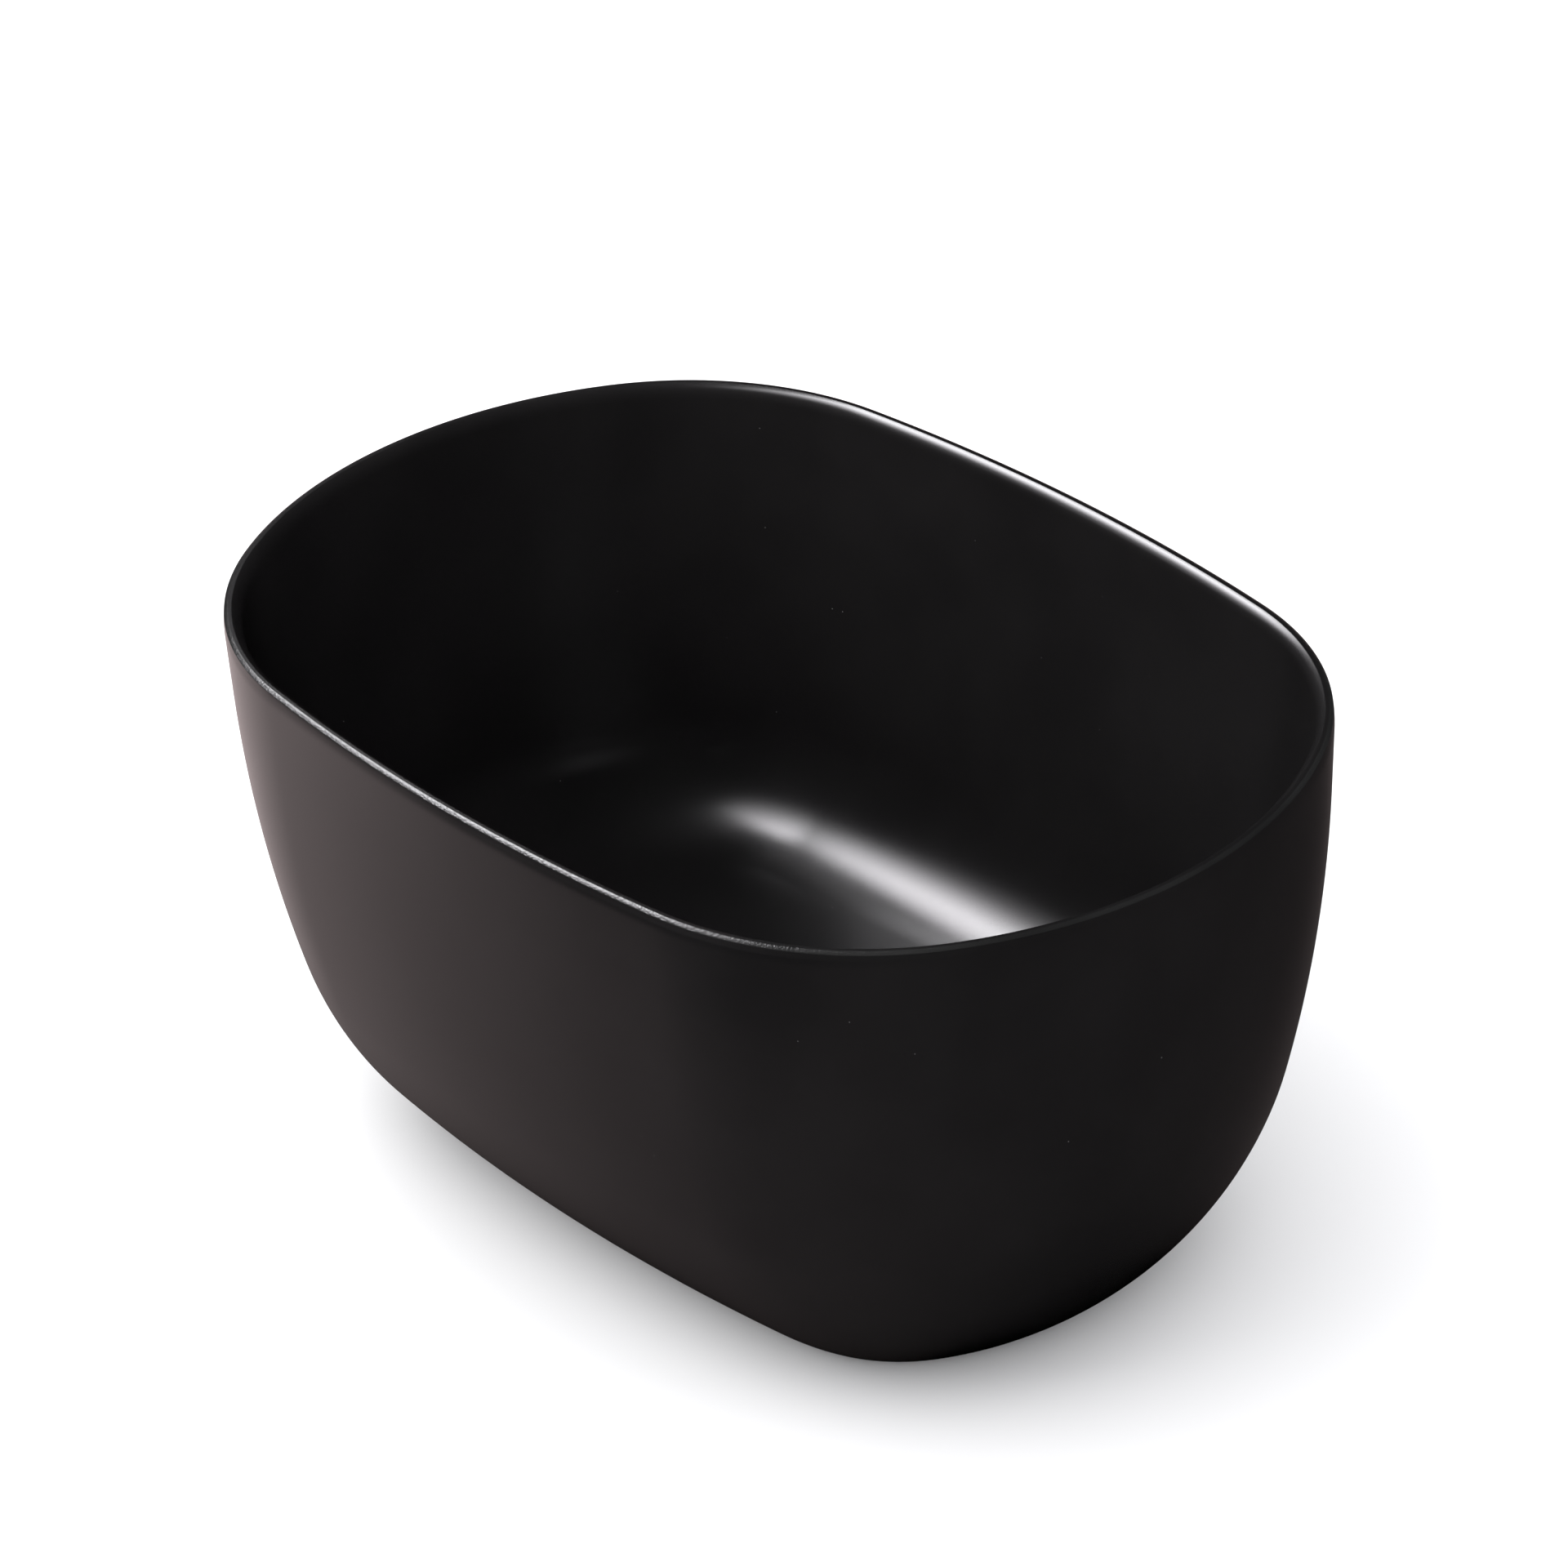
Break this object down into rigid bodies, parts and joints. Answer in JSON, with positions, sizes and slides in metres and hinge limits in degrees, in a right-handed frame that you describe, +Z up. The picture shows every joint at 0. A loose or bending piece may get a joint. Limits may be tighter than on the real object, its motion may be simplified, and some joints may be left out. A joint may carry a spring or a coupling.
{
  "type": "freestanding bathtub",
  "caption": "Compact oval double-skin freestanding bathtub in satin black, thin rounded rim, push plug waste, overflow and levelling feet.",
  "frame": {"origin": "on the floor, under the middle of the oval rim", "axes": "+Z up, +X along the tub's length, the overflow is on the -Y side"},
  "size_m": [1.2, 0.84, 0.6],
  "materials": {
    "black_shell": "satin black composite",
    "plywood": "plain",
    "frame_steel": "galvanised",
    "zinc_plate": "zinc plated",
    "grey_plastic": "moulded",
    "black_rubber": "matte",
    "chrome_trim": "polished",
    "white_plastic": "moulded"
  },
  "bodies": {
    "tub": {"outer_skin": "black_shell", "inner_well": "black_shell", "skin_base_ring": "plywood", "base_board": "plywood", "leg_bar_left": "frame_steel", "leg_bar_right": "frame_steel", "bar_end_caps": "grey_plastic", "bar_screws": "zinc_plate", "skin_bracket_1": "frame_steel", "skin_bracket_2": "frame_steel", "skin_bracket_3": "frame_steel", "skin_bracket_4": "frame_steel", "bracket_screws": "zinc_plate", "foot_bushes": "frame_steel", "foot_lock_nuts": "zinc_plate", "waste_flange": "chrome_trim", "waste_top_gasket": "black_rubber", "waste_lower_gasket": "black_rubber", "waste_body": "white_plastic", "tailpiece": "white_plastic", "tailpiece_nut": "white_plastic", "tailpiece_washer": "black_rubber", "cartridge_housing": "grey_plastic", "cartridge_spring": "frame_steel", "overflow_cover": "chrome_trim", "overflow_screw": "chrome_trim", "overflow_gasket": "black_rubber", "overflow_head": "white_plastic", "overflow_duct": "white_plastic", "overflow_adapter": "white_plastic", "overflow_bend": "white_plastic", "overflow_pipe": "white_plastic", "overflow_pipe_nut": "white_plastic", "overflow_pipe_seal": "black_rubber"},
    "plug": {"plug_cap": "chrome_trim", "plug_seal": "black_rubber", "plug_stem": "chrome_trim"},
    "foot_1": {"foot_pad_1": "grey_plastic", "foot_sole_1": "black_rubber"},
    "foot_1_screw": {"foot_stud_1": "zinc_plate"},
    "foot_2": {"foot_pad_2": "grey_plastic", "foot_sole_2": "black_rubber"},
    "foot_2_screw": {"foot_stud_2": "zinc_plate"},
    "foot_3": {"foot_pad_3": "grey_plastic", "foot_sole_3": "black_rubber"},
    "foot_3_screw": {"foot_stud_3": "zinc_plate"},
    "foot_4": {"foot_pad_4": "grey_plastic", "foot_sole_4": "black_rubber"},
    "foot_4_screw": {"foot_stud_4": "zinc_plate"}
  },
  "joints": [
    {"name": "plug_lift", "type": "slide", "parent": "tub", "child": "plug", "axis": [0, 0, 1], "range_m": [0, 0.009], "deforming": ["cartridge_spring"]},
    {"name": "foot_1_level", "type": "slide", "parent": "tub", "child": "foot_1", "axis": [0, 0, -1], "range_m": [-0.008, 0.012]},
    {"name": "foot_1_turn", "type": "hinge", "parent": "foot_1", "child": "foot_1_screw", "pos_m": [0.25, -0.14, 0], "axis": [0, 0, -1], "range_deg": [-1925, 2885]},
    {"name": "foot_2_level", "type": "slide", "parent": "tub", "child": "foot_2", "axis": [0, 0, -1], "range_m": [-0.008, 0.012]},
    {"name": "foot_2_turn", "type": "hinge", "parent": "foot_2", "child": "foot_2_screw", "pos_m": [0.25, 0.14, 0], "axis": [0, 0, -1], "range_deg": [-1925, 2885]},
    {"name": "foot_3_level", "type": "slide", "parent": "tub", "child": "foot_3", "axis": [0, 0, -1], "range_m": [-0.008, 0.012]},
    {"name": "foot_3_turn", "type": "hinge", "parent": "foot_3", "child": "foot_3_screw", "pos_m": [-0.25, 0.14, 0], "axis": [0, 0, -1], "range_deg": [-1925, 2885]},
    {"name": "foot_4_level", "type": "slide", "parent": "tub", "child": "foot_4", "axis": [0, 0, -1], "range_m": [-0.008, 0.012]},
    {"name": "foot_4_turn", "type": "hinge", "parent": "foot_4", "child": "foot_4_screw", "pos_m": [-0.25, -0.14, 0], "axis": [0, 0, -1], "range_deg": [-1925, 2885]}
  ],
  "couplings": [
    {"joint": "foot_1_turn", "follows": "foot_1_level", "rad_per_m": 4188.8},
    {"joint": "foot_2_turn", "follows": "foot_2_level", "rad_per_m": 4188.8},
    {"joint": "foot_3_turn", "follows": "foot_3_level", "rad_per_m": 4188.8},
    {"joint": "foot_4_turn", "follows": "foot_4_level", "rad_per_m": 4188.8}
  ]
}
